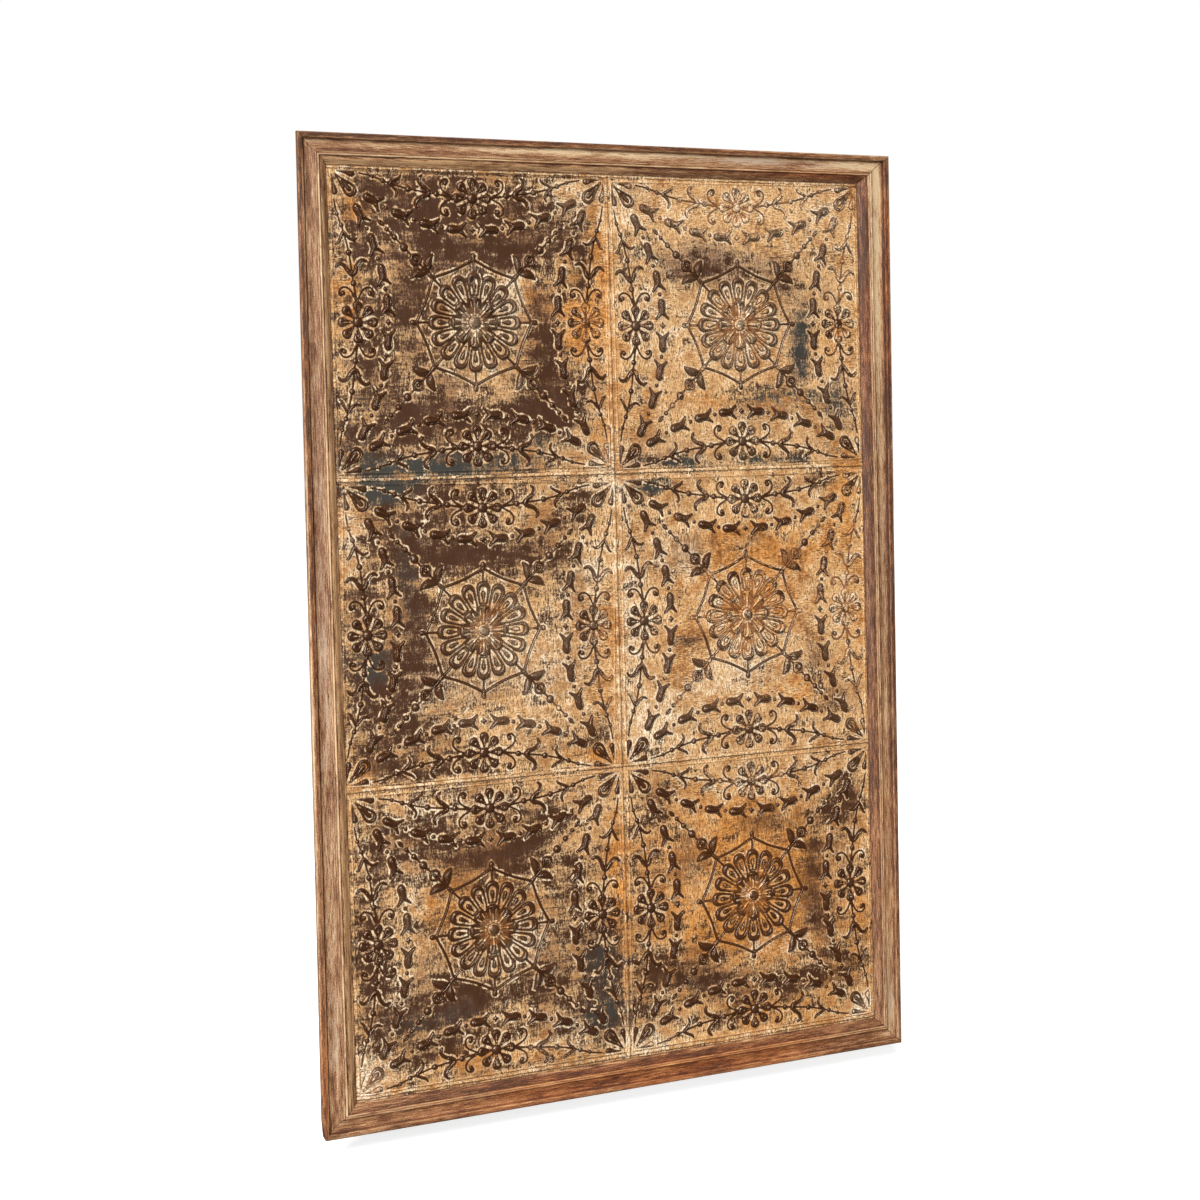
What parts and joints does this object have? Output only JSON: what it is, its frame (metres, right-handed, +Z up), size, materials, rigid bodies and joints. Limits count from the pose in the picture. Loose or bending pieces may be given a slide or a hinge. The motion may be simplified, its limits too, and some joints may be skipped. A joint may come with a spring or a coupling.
{
  "type": "iron wall hanging panel",
  "caption": "Tall framed wall panel of pressed-iron sheets with a stamped rosette, web, tulip garland and daisy pattern, in a mitred moulded wooden frame, painted and worn.",
  "frame": {"origin": "on the wall, at the middle of the flat back of the top rail, where the panel hangs", "axes": "+X to the viewer's right, +Z up, the stamped face looks along -Y and +Y points into the wall"},
  "size_m": [1.34, 0.026, 1.945],
  "materials": {
    "pressed_iron": "thin pressed iron under worn ochre, cream and brown paint; dark brown burnished relief, faint teal-grey patches",
    "frame_wood": "moulded wood under rubbed brown, tan and cream paint, matt, with worn edges"
  },
  "bodies": {
    "root": {"sheet_top_left": "pressed_iron", "sheet_top_right": "pressed_iron", "sheet_middle_left": "pressed_iron", "sheet_middle_right": "pressed_iron", "sheet_bottom_left": "pressed_iron", "sheet_bottom_right": "pressed_iron", "frame_top": "frame_wood", "frame_right": "frame_wood", "frame_bottom": "frame_wood", "frame_left": "frame_wood"}
  },
  "joints": []
}
